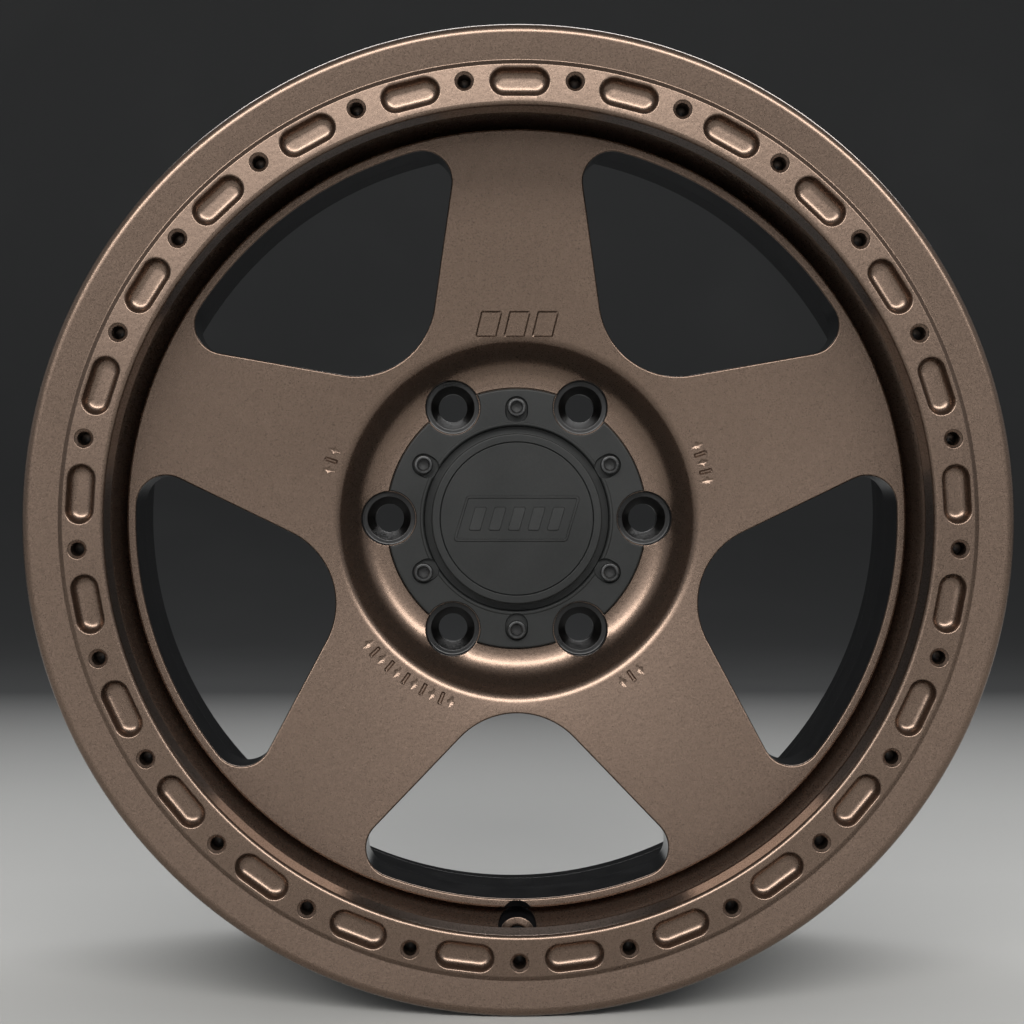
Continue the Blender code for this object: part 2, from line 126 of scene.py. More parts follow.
# The camera's place in metres, the way it looks, and its lens for a 36 mm sensor
CAMERA_PLACE = (-0.0182, -1.207, 0.0177)
CAMERA_AIM = (0.01327, 1.0, -0.0120)
CAMERA_LENS = 76.06
STAGE_HEIGHT = -0.2489  # in metres, just under the rim

# Brightness of the surround at sines of elevation, from below to overhead
WORLD_STOPS = [(-1.0, 0.1), (-0.2, 0.14), (0.0, 0.30), (0.25, 0.42), (0.7, 0.3), (1.0, 0.15)]


# ---------------------------------------------------------------- outlines


def fillet_reach(points, radii, closed):
    """How far along its two sides each corner's arc may reach, shared out where arcs would meet."""
    count = len(points)
    reaches = np.zeros(count)
    for index in range(count):
        if radii[index] <= 0.0 or (not closed and index in (0, count - 1)):
            continue
        back = points[index - 1] - points[index]
        ahead = points[(index + 1) % count] - points[index]
        cosine = back @ ahead / (np.linalg.norm(back) * np.linalg.norm(ahead))
        opening = math.acos(float(np.clip(cosine, -1.0, 1.0)))
        if opening < math.radians(179.5):
            reaches[index] = radii[index] / math.tan(opening / 2)
    shares = np.ones(count)
    for index in range(count if closed else count - 1):
        after = (index + 1) % count
        length = np.linalg.norm(points[after] - points[index])
        wanted = reaches[index] + reaches[after]
        if wanted > 0.98 * length:
            shares[index] = min(shares[index], 0.98 * length / wanted)
            shares[after] = min(shares[after], 0.98 * length / wanted)
    return reaches * shares


def rounded(corners, closed=True, turn=math.radians(15)):
    """A line through (x, y, radius) corners, with an arc of that radius at each corner.

    Returns its points and, for each point, the number of the corner it belongs to.
    """
    points = [np.array(corner[:2], float) for corner in corners]
    reaches = fillet_reach(points, [corner[2] for corner in corners], closed)
    count = len(points)
    line = []
    owners = []
    for index, here in enumerate(points):
        reach = reaches[index]
        if reach == 0.0:
            line.append(here)
            owners.append(index)
            continue
        back = points[index - 1] - here
        ahead = points[(index + 1) % count] - here
        back /= np.linalg.norm(back)
        ahead /= np.linalg.norm(ahead)
        opening = math.acos(float(np.clip(back @ ahead, -1.0, 1.0)))
        radius = reach * math.tan(opening / 2)
        bisector = (back + ahead) / np.linalg.norm(back + ahead)
        centre = here + bisector * radius / math.sin(opening / 2)
        first = here + back * reach - centre
        last = here + ahead * reach - centre
        steps = max(2, math.ceil((math.pi - opening) / turn))
        start = math.atan2(first[1], first[0])
        swing = math.atan2(last[1], last[0]) - start
        swing = (swing + math.pi) % (2 * math.pi) - math.pi
        for step in range(steps + 1):
            angle = start + swing * step / steps
            line.append(centre + radius * np.array((math.cos(angle), math.sin(angle))))
            owners.append(index)
    return np.array(line), owners


def circle_loop(count):
    """Offset outline of a circle of no radius: a loop of the offset's own radius."""
    angles = np.linspace(0.0, 2 * math.pi, count, endpoint=False)

    def loop(offset):
        return offset * np.column_stack((np.cos(angles), np.sin(angles)))

    return loop


def slot_loop(length, width, count):
    """Offset outline of a straight slot with round ends that lies along X."""
    half = length / 2 - width / 2
    quarter = np.linspace(-math.pi / 2, math.pi / 2, count)

    def loop(offset):
        radius = width / 2 + offset
        right = np.column_stack((half + radius * np.cos(quarter), radius * np.sin(quarter)))
        return np.vstack((right, -right))

    return loop


def window_loop():
    """Offset outline of a spoke window that points up."""
    side = np.array((math.sin(WINDOW_SIDE_ANGLE), math.cos(WINDOW_SIDE_ANGLE)))
    outward = np.array((side[1], -side[0]))
    tip_centre = np.array((0.0, WINDOW_TIP + WINDOW_TIP_ROUND))
    base = tip_centre + (WINDOW_TIP_ROUND - WINDOW_CORNER_ROUND) * outward
    reach = WINDOW_OUTER - WINDOW_CORNER_ROUND
    along = float(base @ side)
    travel = -along + math.sqrt(along**2 - float(base @ base) + reach**2)
    corner_centre = base + travel * side
    side_facing = math.atan2(outward[1], outward[0])
    corner_facing = math.atan2(corner_centre[1], corner_centre[0])

    def stretch(centre, radius, start, end, count):
        angles = np.linspace(start, end, count)
        return centre + radius * np.column_stack((np.cos(angles), np.sin(angles)))

    def loop(offset):
        tip_radius = WINDOW_TIP_ROUND + offset
        corner_radius = WINDOW_CORNER_ROUND + offset
        tip = stretch(tip_centre, tip_radius, -math.pi / 2, side_facing, 16)
        corner = stretch(corner_centre, corner_radius, side_facing, corner_facing, 20)
        blend = np.linspace(0.0, 1.0, 14)[1:-1, None]
        straight = tip[-1] + blend * (corner[0] - tip[-1])
        outer = stretch(np.zeros(2), WINDOW_OUTER + offset, corner_facing, math.pi / 2, 24)
        half = np.vstack((tip, straight, corner, outer[1:]))
        mirrored = half[1:-1][::-1] * (-1.0, 1.0)
        return np.vstack((half, mirrored))

    return loop


# ---------------------------------------------------------------- meshes


def mesh_object(name, verts, faces, face_materials, materials):
    """A mesh object of the scene, with the material slot of each face."""
    mesh = bpy.data.meshes.new(name)
    mesh.from_pydata([tuple(map(float, vert)) for vert in verts], [], faces)
    for material in materials:
        mesh.materials.append(material)
    mesh.polygons.foreach_set("material_index", face_materials)
    mesh.update()
    obj = bpy.data.objects.new(name, mesh)
    bpy.context.scene.collection.objects.link(obj)
    return obj


def lathe(name, line, steps, line_materials, materials):
    """A solid of revolution of a closed (radius, height) line round Z, with outward faces."""
    angles = np.linspace(0.0, 2 * math.pi, steps, endpoint=False) + math.pi / 2
    count = len(line)
    verts = np.empty((steps, count, 3))
    verts[:, :, 0] = np.cos(angles)[:, None] * line[:, 0]
    verts[:, :, 1] = np.sin(angles)[:, None] * line[:, 0]
    verts[:, :, 2] = line[:, 1]
    faces = []
    face_materials = []
    for step in range(steps):
        this = step * count
        that = (step + 1) % steps * count
        for index in range(count):
            after = (index + 1) % count
            faces.append((this + index, this + after, that + after, that + index))
            face_materials.append(line_materials[index])
    return mesh_object(name, verts.reshape(-1, 3), faces, face_materials, materials)


def turned(name, corners, steps, material):
    """A closed turned solid from (radius, height, corner radius) points, top to bottom outside.

    A line whose first and last points lie on the axis is capped there by single points.
    """
    on_axis = corners[0][0] == 0.0
    line, _ = rounded(corners, closed=not on_axis)
    if not on_axis:
        return lathe(name, line, steps, [0] * len(line), [material])
    inner = line[1:-1]
    angles = np.linspace(0.0, 2 * math.pi, steps, endpoint=False)
    count = len(inner)
    rings = np.empty((steps, count, 3))
    rings[:, :, 0] = np.cos(angles)[:, None] * inner[:, 0]
    rings[:, :, 1] = np.sin(angles)[:, None] * inner[:, 0]
    rings[:, :, 2] = inner[:, 1]
    verts = list(rings.reshape(-1, 3)) + [(0.0, 0.0, line[0][1]), (0.0, 0.0, line[-1][1])]
    top = steps * count
    bottom = top + 1
    faces = []
    for step in range(steps):
        this = step * count
        that = (step + 1) % steps * count
        faces.append((top, this, that))
        for index in range(count - 1):
            faces.append((this + index, this + index + 1, that + index + 1, that + index))
        faces.append((this + count - 1, bottom, that + count - 1))
    return mesh_object(name, verts, faces, [0] * len(faces), [material])


def loft_cutter(name, loops, finishes):
    """A closed solid through loops of equal length, listed from top to bottom.

    finishes holds the material slot of the band below each loop, and the last one is the floor's.
    """
    count = len(loops[0])
    verts = np.vstack(loops)
    faces = [tuple(range(count))]
    face_materials = [finishes[0]]
    for level in range(len(loops) - 1):
        upper = level * count
        lower = upper + count
        for index in range(count):
            after = (index + 1) % count
            faces.append((upper + index, lower + index, lower + after, upper + after))
            face_materials.append(finishes[level])
    last = (len(loops) - 1) * count
    faces.append(tuple(last + index for index in reversed(range(count))))
    face_materials.append(finishes[-1])
    return mesh_object(name, verts, faces, face_materials, [])


def transformed(obj, matrix):
    obj.data.transform(matrix)
    return obj


def clock(degrees):
    """The turn about Z that takes the wheel frame's up direction clockwise round the face."""
    return Matrix.Rotation(-math.radians(degrees), 4, "Z")


def on_circle(radius, degrees, height=0.0):
    """The point of a circle round Z at a clock angle, which is 0 at the top."""
    angle = math.radians(degrees)
    return Vector((radius * math.sin(angle), radius * math.cos(angle), height))


def copies(obj, places):
    """One copy of obj at each place, as a list of objects; obj itself is removed."""
    made = []
    for matrix in places:
        twin = obj.copy()
        twin.data = obj.data.copy()
        twin.data.transform(matrix)
        bpy.context.scene.collection.objects.link(twin)
        made.append(twin)
    bpy.data.objects.remove(obj)
    return made


def join(objects):
    """Joins separate closed meshes into one object, the first one."""
    kept = objects[0]
    bm = bmesh.new()
    for obj in objects:
        bm.from_mesh(obj.data)
    bm.to_mesh(kept.data)
    bm.free()
    for obj in objects[1:]:
        bpy.data.objects.remove(obj)
    return kept


def boolean(target, tool, operation="DIFFERENCE"):
    """Cuts tool from target, or joins it on with UNION, and removes it."""
    modifier = target.modifiers.new("cut", "BOOLEAN")
    modifier.operation = operation
    modifier.solver = "MANIFOLD"
    modifier.material_mode = "INDEX"
    modifier.object = tool
    bpy.context.view_layer.update()
    evaluated = target.evaluated_get(bpy.context.evaluated_depsgraph_get())
    mesh = bpy.data.meshes.new_from_object(evaluated)
    target.modifiers.remove(modifier)
    old = target.data
    target.data = mesh
    mesh.name = old.name
    bpy.data.meshes.remove(old)
    bpy.data.objects.remove(tool)


def finish_piece(obj, body, replaced, sharp=35.0):
    """Turns a piece upright, shades it smooth but for its sharp edges, and sets it on its body."""
    obj.data.transform(UPRIGHT)
    obj.data.shade_smooth()
    obj.data.set_sharp_from_angle(angle=math.radians(sharp))
    normals = obj.modifiers.new("Normals", "WEIGHTED_NORMAL")
    normals.keep_sharp = True
    normals.mode = "FACE_AREA"
    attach(obj, body)
    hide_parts(*replaced)


# ---------------------------------------------------------------- materials


class Nodes:
    """A short way to build a node material, with noise scales in waves per metre."""

    def __init__(self, name, colour, roughness, metallic):
        self.material = bpy.data.materials.new(name)
        self.material.use_nodes = True
        self.tree = self.material.node_tree
        self.shader = self.tree.nodes["Principled BSDF"]
        self.shader.inputs["Base Color"].default_value = (*colour, 1.0)
        self.shader.inputs["Roughness"].default_value = roughness
        self.shader.inputs["Metallic"].default_value = metallic
        self.place = self.add("ShaderNodeTexCoord").outputs["Object"]

    def add(self, kind, **settings):
        node = self.tree.nodes.new(kind)
        for key, value in settings.items():
            setattr(node, key, value)
        return node

    def link(self, source, target):
        self.tree.links.new(source, target)

    def noise(self, scale, detail):
        node = self.add("ShaderNodeTexNoise")
        node.inputs["Scale"].default_value = scale
        node.inputs["Detail"].default_value = detail
        self.link(self.place, node.inputs["Vector"])
        return node.outputs["Fac"]

    def flakes(self, scale):
        node = self.add("ShaderNodeTexVoronoi")
        node.inputs["Scale"].default_value = scale
        self.link(self.place, node.inputs["Vector"])
        split = self.add("ShaderNodeSeparateColor")
        self.link(node.outputs["Color"], split.inputs["Color"])
        return split.outputs["Red"]

    def scaled(self, value, low, high, from_low=0.0, from_high=1.0):
        node = self.add("ShaderNodeMapRange")
        node.inputs["From Min"].default_value = from_low
        node.inputs["From Max"].default_value = from_high
        node.inputs["To Min"].default_value = low
        node.inputs["To Max"].default_value = high
        self.link(value, node.inputs["Value"])
        return node.outputs["Result"]

    def maths(self, operation, first, second):
        node = self.add("ShaderNodeMath", operation=operation)
        for socket, value in zip(node.inputs, (first, second)):
            if isinstance(value, (int, float)):
                socket.default_value = value
            else:
                self.link(value, socket)
        return node.outputs["Value"]

    def colours(self, factor, dark, light):
        node = self.add("ShaderNodeMix", data_type="RGBA")
        node.inputs[MIX_DARK].default_value = (*dark, 1.0)
        node.inputs[MIX_LIGHT].default_value = (*light, 1.0)
        self.link(factor, node.inputs["Factor"])
        self.link(node.outputs[MIX_RESULT], self.shader.inputs["Base Color"])

    def rough(self, value):
        self.link(value, self.shader.inputs["Roughness"])

    def bump(self, height, distance):
        node = self.add("ShaderNodeBump")
        node.inputs["Distance"].default_value = distance
        node.inputs["Strength"].default_value = 1.0
        self.link(height, node.inputs["Height"])
        self.link(node.outputs["Normal"], self.shader.inputs["Normal"])


def bronze_paint():
    """Satin bronze-brown paint with fine metal flake and a faint orange peel."""
    nodes = Nodes("bronze_paint", (0.186, 0.133, 0.103), 0.31, 0.95)
    flake = nodes.flakes(2700.0)
    cloud = nodes.noise(9.0, 3.0)
    fine = nodes.noise(700.0, 2.0)
    coarse = nodes.scaled(cloud, 0.0, 0.25, 0.3, 0.7)
    mixed = nodes.maths("ADD", nodes.scaled(flake, 0.0, 0.55), coarse)
    mixed = nodes.maths("ADD", mixed, nodes.scaled(fine, 0.0, 0.2, 0.3, 0.7))
    nodes.colours(mixed, (0.150, 0.107, 0.083), (0.222, 0.159, 0.123))
    nodes.rough(nodes.scaled(flake, 0.26, 0.33))
    nodes.bump(nodes.noise(420.0, 3.0), 0.00005)
    return nodes.material


def gloss_black(name="gloss_black_paint", roughness=0.13):
    """Gloss black paint with faint dust; with a higher roughness it also serves as painted shade in
    bores and sockets.
    """
    nodes = Nodes(name, (0.010, 0.010, 0.011), roughness, 0.0)
    nodes.shader.inputs["Specular IOR Level"].default_value = 0.4
    dust = nodes.noise(60.0, 5.0)
    dusty = nodes.scaled(dust, 0.0, 1.0, 0.35, 0.75)
    nodes.colours(dusty, (0.004, 0.004, 0.0045), (0.009, 0.009, 0.0095))
    nodes.rough(nodes.scaled(dust, roughness * 0.85, roughness * 1.3, 0.3, 0.7))
    nodes.bump(nodes.noise(260.0, 2.0), 0.00004)
    return nodes.material


def satin_black(name, dark, light, roughness):
    """Satin black anodised finish with a fine grain."""
    nodes = Nodes(name, dark, roughness, 0.0)
    grain = nodes.noise(1500.0, 2.0)
    cloud = nodes.noise(25.0, 3.0)
    fine = nodes.scaled(grain, 0.0, 0.6, 0.3, 0.7)
    coarse = nodes.scaled(cloud, 0.0, 0.4, 0.3, 0.7)
    mixed = nodes.maths("ADD", fine, coarse)
    nodes.colours(mixed, dark, light)
    nodes.rough(nodes.scaled(cloud, roughness - 0.05, roughness + 0.06, 0.3, 0.7))
    nodes.shader.inputs["Specular IOR Level"].default_value = 0.27
    nodes.bump(grain, 0.00002)
    return nodes.material


def machined(name, dark, light, roughness, metallic=0.9):
    """Turned or plated steel with small changes of tone and gloss."""
    nodes = Nodes(name, dark, roughness, metallic)
    cloud = nodes.noise(350.0, 4.0)
    nodes.colours(nodes.scaled(cloud, 0.0, 1.0, 0.3, 0.7), dark, light)
    nodes.rough(nodes.scaled(cloud, roughness * 0.8, roughness * 1.25, 0.3, 0.7))
    nodes.bump(nodes.noise(900.0, 2.0), 0.00002)
    return nodes.material


def rubber():
    """Matt black rubber with a fine grain."""
    nodes = Nodes("seal_rubber_skin", (0.018, 0.018, 0.018), 0.7, 0.0)
    grain = nodes.noise(1100.0, 4.0)
    grey = nodes.scaled(grain, 0.0, 1.0, 0.3, 0.7)
    nodes.colours(grey, (0.012, 0.012, 0.012), (0.030, 0.030, 0.030))
    nodes.rough(nodes.scaled(grain, 0.6, 0.8, 0.3, 0.7))
    nodes.bump(grain, 0.00005)
    return nodes.material


# ---------------------------------------------------------------- the forging

# (radius, height, corner radius, finish of the line that follows), front to back and round again
FORGING = [
    (FLANGE_RADIUS, LIP_CORNER, 4.2, PAINT),
    (FLANGE_RADIUS, 119.5, 3.0, PAINT),
    (242.0, 114.3, 7.0, BLACK),
    (231.2, 114.3, 6.5, BLACK),
    (229.5, 93.5, 3.0, BLACK),
    (230.6, 89.5, 2.5, BLACK),
    (226.0, 83.0, 4.0, BLACK),
    (226.0, 48.5, 6.0, BLACK),
    (209.5, 32.0, 8.0, BLACK),
    (209.5, -14.0, 8.0, BLACK),
    (226.0, -36.0, 8.0, BLACK),
    (226.0, -83.0, 4.0, BLACK),
    (230.6, -89.5, 2.5, BLACK),
    (229.5, -93.5, 3.0, BLACK),
    (231.2, -114.3, 6.5, BLACK),
    (242.0, -114.3, 7.0, BLACK),
    (FLANGE_RADIUS, -119.5, 3.0, BLACK),
    (FLANGE_RADIUS, -HALF_WIDTH, 2.6, BLACK),
    (233.5, -HALF_WIDTH, 3.0, BLACK),
    (229.5, -124.2, 3.0, BLACK),
    (221.7, -123.8, 1.4, BLACK),
    (219.5, -40.0, 12.0, BLACK),
    (204.2, -18.0, 12.0, BLACK),
    (204.2, 20.2, 7.0, BLACK),
    (104.0, 8.0, 12.0, BLACK),
    (89.5, 6.2, 1.5, BLACK),
    (88.0, 4.6, 1.0, BLACK),
    (88.0, 0.0, 0.8, BLACK),
    (54.5, 0.0, 0.3, BLACK),
    (53.05, 1.5, 0.3, BLACK),
    (53.05, CAP_SEAT, 0.5, PAINT),
    (71.3, CAP_SEAT, 0.3, PAINT),
    (71.3, BOWL_FLOOR, 0.5, PAINT),
    (82.2, BOWL_FLOOR, 17.0, PAINT),
    (96.7, 39.7, 8.0, PAINT),
    (DISC_EDGE_RADIUS, 52.6, 0.9, PAINT),
    (DISC_EDGE_RADIUS, 41.2, 0.9, PAINT),
    (208.9, 41.2, 0.6, PAINT),
    (219.5, 51.9, 4.0, PAINT),
    (219.5, 105.0, 5.0, PAINT),
    (RING_INNER, 105.0, 1.0, PAINT),
    (RING_INNER, RING_FACE, 2.4, PAINT),
    (228.2, RING_FACE, 0.9, PAINT),
    (230.5, DISH_FOOT - 0.1, 0.7, PAINT),
]
FACE_CORNERS = (32, 35)  # from the bowl's floor to the disc's edge
BACK_LINE = ((104.0, 8.0), (204.2, 20.2))


def face_height(line, owners):
    """The height of the front face as a function of radius, from the rounded line itself."""
    first, last = FACE_CORNERS
    chosen = [index for index, owner in enumerate(owners) if first <= owner <= last]
    stretch = line[chosen]
    rising = [0]
    for index in range(1, len(stretch)):
        if stretch[index][0] > stretch[rising[-1]][0] + 0.001:
            rising.append(index)
    return lambda radius: np.interp(radius, stretch[rising, 0], stretch[rising, 1])


def back_height(radius):
    """The height of the disc's back face, which is straight between two radii."""
    (r0, z0), (r1, z1) = BACK_LINE
    return z0 + (np.clip(radius, r0, r1) - r0) * (z1 - z0) / (r1 - r0)


def heights(points, level):
    """(x, y) points set at one height, or each at its own."""
    return np.column_stack((points, np.broadcast_to(level, len(points))))


def edge_round(loop, surface, radius, steps, offset=0.0):
    """Loops of a cutter that rounds the edge where it leaves a surface, from outside inwards.

    surface gives the height over (x, y) points. The first loop stands clear above it.
    """
    outside = loop(offset + radius)
    loops = [heights(outside, surface(outside) + 6.0), heights(outside, surface(outside) + 0.01)]
    for step in range(1, steps + 1):
        angle = math.radians(90) * step / steps
        points = loop(offset + radius * (1.0 - math.sin(angle)))
        loops.append(heights(points, surface(points) - radius * (1.0 - math.cos(angle))))
    return loops


def window_cutters(face):
    """Cutters of the five windows, with rounded front edges and rounded back edges."""
    loop = window_loop()

    def surface(points):
        return face(np.hypot(points[:, 0], points[:, 1]))

    loops = edge_round(loop, surface, FRONT_ROUND, 5)
    finishes = [PAINT] * (len(loops) - 1) + [BLACK]
    base = loop(0.0)
    radius = np.hypot(base[:, 0], base[:, 1])
    # The back edge's rounding fades out where the window's outer end comes near the barrel
    fade = np.clip((BACK_ROUND_END - radius) / BACK_ROUND_FADE, 0.0, 1.0)[:, None]
    for step in range(6):
        angle = math.radians(90) * step / 5
        spread = base + (loop(BACK_ROUND * (1.0 - math.cos(angle))) - base) * fade
        # The last loop lies just below the back face, so that the cut comes out through it
        level = back_height(radius) + BACK_ROUND * (1.0 - math.sin(angle)) - 0.01 * (step == 5)
        loops.append(heights(spread, level))
        finishes.append(BLACK)
    loops.append(heights(spread, -6.0))
    finishes.append(BLACK)
    cutter = loft_cutter("window", loops, finishes)
    places = [clock(36.0 + index * 360.0 / WINDOWS) for index in range(WINDOWS)]
    return copies(cutter, places)


def flat_pocket(loop, top, edge, below):
    """A pocket cut in a flat face: a rounded edge, then (offset, height) levels, then its floor."""
    loops = edge_round(loop, lambda points: np.full(len(points), top), edge, 4)
    for offset, level in below:
        loops.append(heights(loop(offset), level))
    return loft_cutter("pocket", loops, [PAINT] * len(loops))


def quarter(offset, level, radius, steps):
    """(offset, height) points of a concave fillet from a steep wall to a floor."""
    points = []
    for step in range(1, steps + 1):
        angle = math.radians(90) * step / steps
        points.append((offset - radius * (1.0 - math.cos(angle)), level - radius * math.sin(angle)))
    return points


def slot_cutters():
    """The 25 shallow pockets of the raised ring, with steep walls and a wide floor fillet."""
    lean = -0.22
    wall_foot = RING_FACE - 2.6
    below = [(lean, wall_foot)] + quarter(lean, wall_foot, 4.2, 7)
    below += [(-5.6, RING_FACE - 6.8)]
    cutter = flat_pocket(slot_loop(SLOT_LENGTH, SLOT_WIDTH, 17), RING_FACE, 0.95, below)
    places = [
        Matrix.Translation(on_circle(SLOT_CIRCLE, index * RING_STEP)) @ clock(index * RING_STEP)
        for index in range(RING_PATTERN)
    ]
    return copies(cutter, places)


def ring_hole_cutters():
    """The 25 blind bolt holes of the raised ring, countersunk."""
    below = [
        (HOLE_RADIUS + 0.1, RING_FACE - 1.5),
        (HOLE_RADIUS, RING_FACE - 1.8),
        (HOLE_RADIUS, RING_FACE - 14.0),
        (1.0, RING_FACE - 15.6),
    ]
    loop = circle_loop(36)
    loops = edge_round(
        loop, lambda points: np.full(len(points), RING_FACE), 0.6, 4, HOLE_SINK_RADIUS
    )
    for offset, level in below:
        loops.append(heights(loop(offset), level))
    # The bottom of each hole gets painted shade; its walls keep the bronze paint
    finishes = [PAINT] * (len(loops) - 2) + [PAINTED_SHADE] * 2
    cutter = loft_cutter("ring_hole", loops, finishes)
    places = [
        Matrix.Translation(on_circle(HOLE_CIRCLE, (index + 0.5) * RING_STEP))
        for index in range(RING_PATTERN)
    ]
    return copies(cutter, places)


def lug_cutters(face):
    """Nut recesses in the bowl: a steep wall, a shallow bevel, and a lip over the seat insert."""
    loop = circle_loop(72)
    inner = 72.5  # the bowl's floor is carried on inwards over the cap's seat

    def surface(points):
        radius = np.hypot(points[:, 0], points[:, 1] + LUG_CIRCLE)
        return face(np.clip(radius, inner, None))

    loops = edge_round(loop, surface, 0.5, 4, LUG_RECESS_RADIUS)
    floor = LUG_RECESS_FLOOR
    below = [
        (LUG_RECESS_RADIUS - 0.05, floor + 0.6),
        (14.45, floor + 0.25),
        (13.9, floor + 0.05),
        (13.4, floor),
        (12.3, floor),
        (12.05, floor - 0.08),
        (11.95, floor - 0.3),
        (LUG_BORE_RADIUS, floor - 0.35),
        (LUG_BORE_RADIUS, 5.5),
        (8.0, 5.5),
        (8.0, -3.0),
    ]
    for offset, level in below:
        loops.append(heights(loop(offset), level))
    # The rounded edge keeps the bronze paint; from the wall down, the recess and bore get painted
    # shade
    finishes = [PAINT] * 5 + [PAINTED_SHADE] * (len(loops) - 5)
    cutter = loft_cutter("lug", loops, finishes)
    out = Matrix.Translation((0.0, LUG_CIRCLE, 0.0))
    return copies(cutter, [clock(angle) @ out for angle in LUG_ANGLES])


def screw_place(index, height=0.0):
    """Where a cap screw sits: the top and bottom ones a little further out than the others."""
    circle = SCREW_CIRCLE_UPRIGHT if index in (1, 4) else SCREW_CIRCLE_SIDE
    return on_circle(circle, (index - 1) * 60.0, height)


def screw_hole_cutters():
    """Holes in the cap's seat for the thread inserts."""
    loop = circle_loop(32)
    levels = [(4.9, CAP_SEAT + 2.0), (4.9, CAP_SEAT + 0.02), (4.2, CAP_SEAT - 0.7), (4.2, 6.3)]
    loops = [heights(loop(offset), level) for offset, level in levels]
    cutter = loft_cutter("screw_hole", loops, [PAINT] * len(loops))
    places = [Matrix.Translation(screw_place(index)) for index in range(1, SCREWS + 1)]
    return copies(cutter, places)


def valve_cutter():
    """The empty valve hole: a pocket that leans 45 degrees, and a countersunk hole in its floor."""
    angles = np.linspace(0.0, 2 * math.pi, 64, endpoint=False)
    # Radius, height and how far the pocket reaches on towards the disc
    levels = [
        (10.3, 40.0, 0.0),
        (10.3, 7.0, 0.0),
        (10.3, 4.0, 4.0),
        (10.3, 0.8, 4.0),
        (10.1, 0.2, 4.0),
        (9.6, 0.0, 4.0),
        (8.95, 0.0, 0.0),
        (8.6, -0.15, 0.0),
        (6.3, -1.9, 0.0),
        (5.9, -2.3, 0.0),
        (5.65, -3.0, 0.0),
        (5.65, -14.0, 0.0),
    ]
    loops = []
    for radius, level, stretch in levels:
        outline = radius * np.column_stack((np.cos(angles), np.sin(angles)))
        outline[:, 1] += stretch * np.clip(np.sin(angles), 0.0, 1.0) ** 0.5
        loops.append(heights(outline, level))
    finishes = [BLACK] * 6 + [PAINT] * 4 + [BLACK] * 2
    cutter = loft_cutter("valve", loops, finishes)
    lean = Matrix.Rotation(math.radians(-45), 4, "X")
    place = Matrix.Translation(on_circle(VALVE_CIRCLE, 180.0, VALVE_HEIGHT)) @ lean
    return copies(cutter, [place])


def ring_faces(loops):
    """Faces that join equal loops one to the next and the last to the first, round a ring."""
    count = len(loops[0])
    faces = []
    for level in range(len(loops)):
        this = level * count
        that = (level + 1) % len(loops) * count
        for index in range(count):
            after = (index + 1) % count
            faces.append((this + index, that + index, that + after, this + after))
    return faces


def slanted(width, height, slant, corner):
    """A parallelogram outline with rounded corners, centred on the origin."""
    corners = [
        ((-width - slant) / 2, -height / 2, corner),
        ((width - slant) / 2, -height / 2, corner),
        ((width + slant) / 2, height / 2, corner),
        ((-width + slant) / 2, height / 2, corner),
    ]
    return rounded(corners, turn=math.radians(30))[0]


def diamond(width, height):
    """A diamond outline with rounded corners, centred on the origin."""
    corners = [
        (0, -height / 2, 0.4),
        (width / 2, 0, 0.5),
        (0, height / 2, 0.4),
        (-width / 2, 0, 0.5),
    ]
    return rounded(corners, turn=math.radians(30))[0]


def mark_cutters(face):
    """Plain engraved marks on the spokes' roots, with sloping walls: blocks, diamonds and bars."""
    slope = 0.9

    def surface(points):
        return face(np.hypot(points[:, 0], points[:, 1]))

    def engrave(outline, foot, degrees):
        outline = outline + (0.0, MARK_CIRCLE)
        foot = foot + (0.0, MARK_CIRCLE)
        loops = [
            heights(outline, surface(outline) + 2.0),
            heights(outline, surface(outline)),
            heights(foot, surface(foot) - MARK_DEPTH),
        ]
        cutter = loft_cutter("mark", loops, [PAINT] * len(loops))
        return transformed(cutter, clock(degrees))

    made = []
    block = slanted(11.6, 14.0, 3.4, 1.0)
    block_foot = slanted(11.6 - 2 * slope, 14.0 - 2 * slope, 3.0, 0.6)
    for step in (-1, 0, 1):
        shift = (step * 15.2, 0.0)
        made.append(engrave(block + shift, block_foot + shift, 0.0))
    diamonds = diamond(4.6, 7.6), diamond(1.6, 3.4)
    bars = slanted(2.4, 7.2, 0.0, 0.5), slanted(0.7, 5.5, 0.0, 0.2)
    for degrees, count, pitch in MARK_ROWS:
        for index in range(count):
            turn = degrees + (index - (count - 1) / 2) * pitch
            made.append(engrave(*(diamonds if index % 2 == 0 else bars), turn))
    return made


def build_forging():
    """The rim, its ring and its disc in one piece, with every window, pocket, hole and mark cut."""
    line, owners = rounded([corner[:3] for corner in FORGING])
    finishes = [FORGING[owner][3] for owner in owners]
    # The third material is painted shade for the deep bores and recesses
    materials = [bronze_paint(), gloss_black(), gloss_black("hole_painted_shade", 0.3)]
    forging = lathe("forging", line, ROUND_STEPS, finishes, materials)
    face = face_height(line, owners)
    cutters = window_cutters(face) + slot_cutters() + ring_hole_cutters()
    cutters += lug_cutters(face) + screw_hole_cutters() + valve_cutter() + mark_cutters(face)
    boolean(forging, join(cutters))
    finish_piece(forging, "wheel", ["wheel_forging"])


# ---------------------------------------------------------------- seats, cap and screws


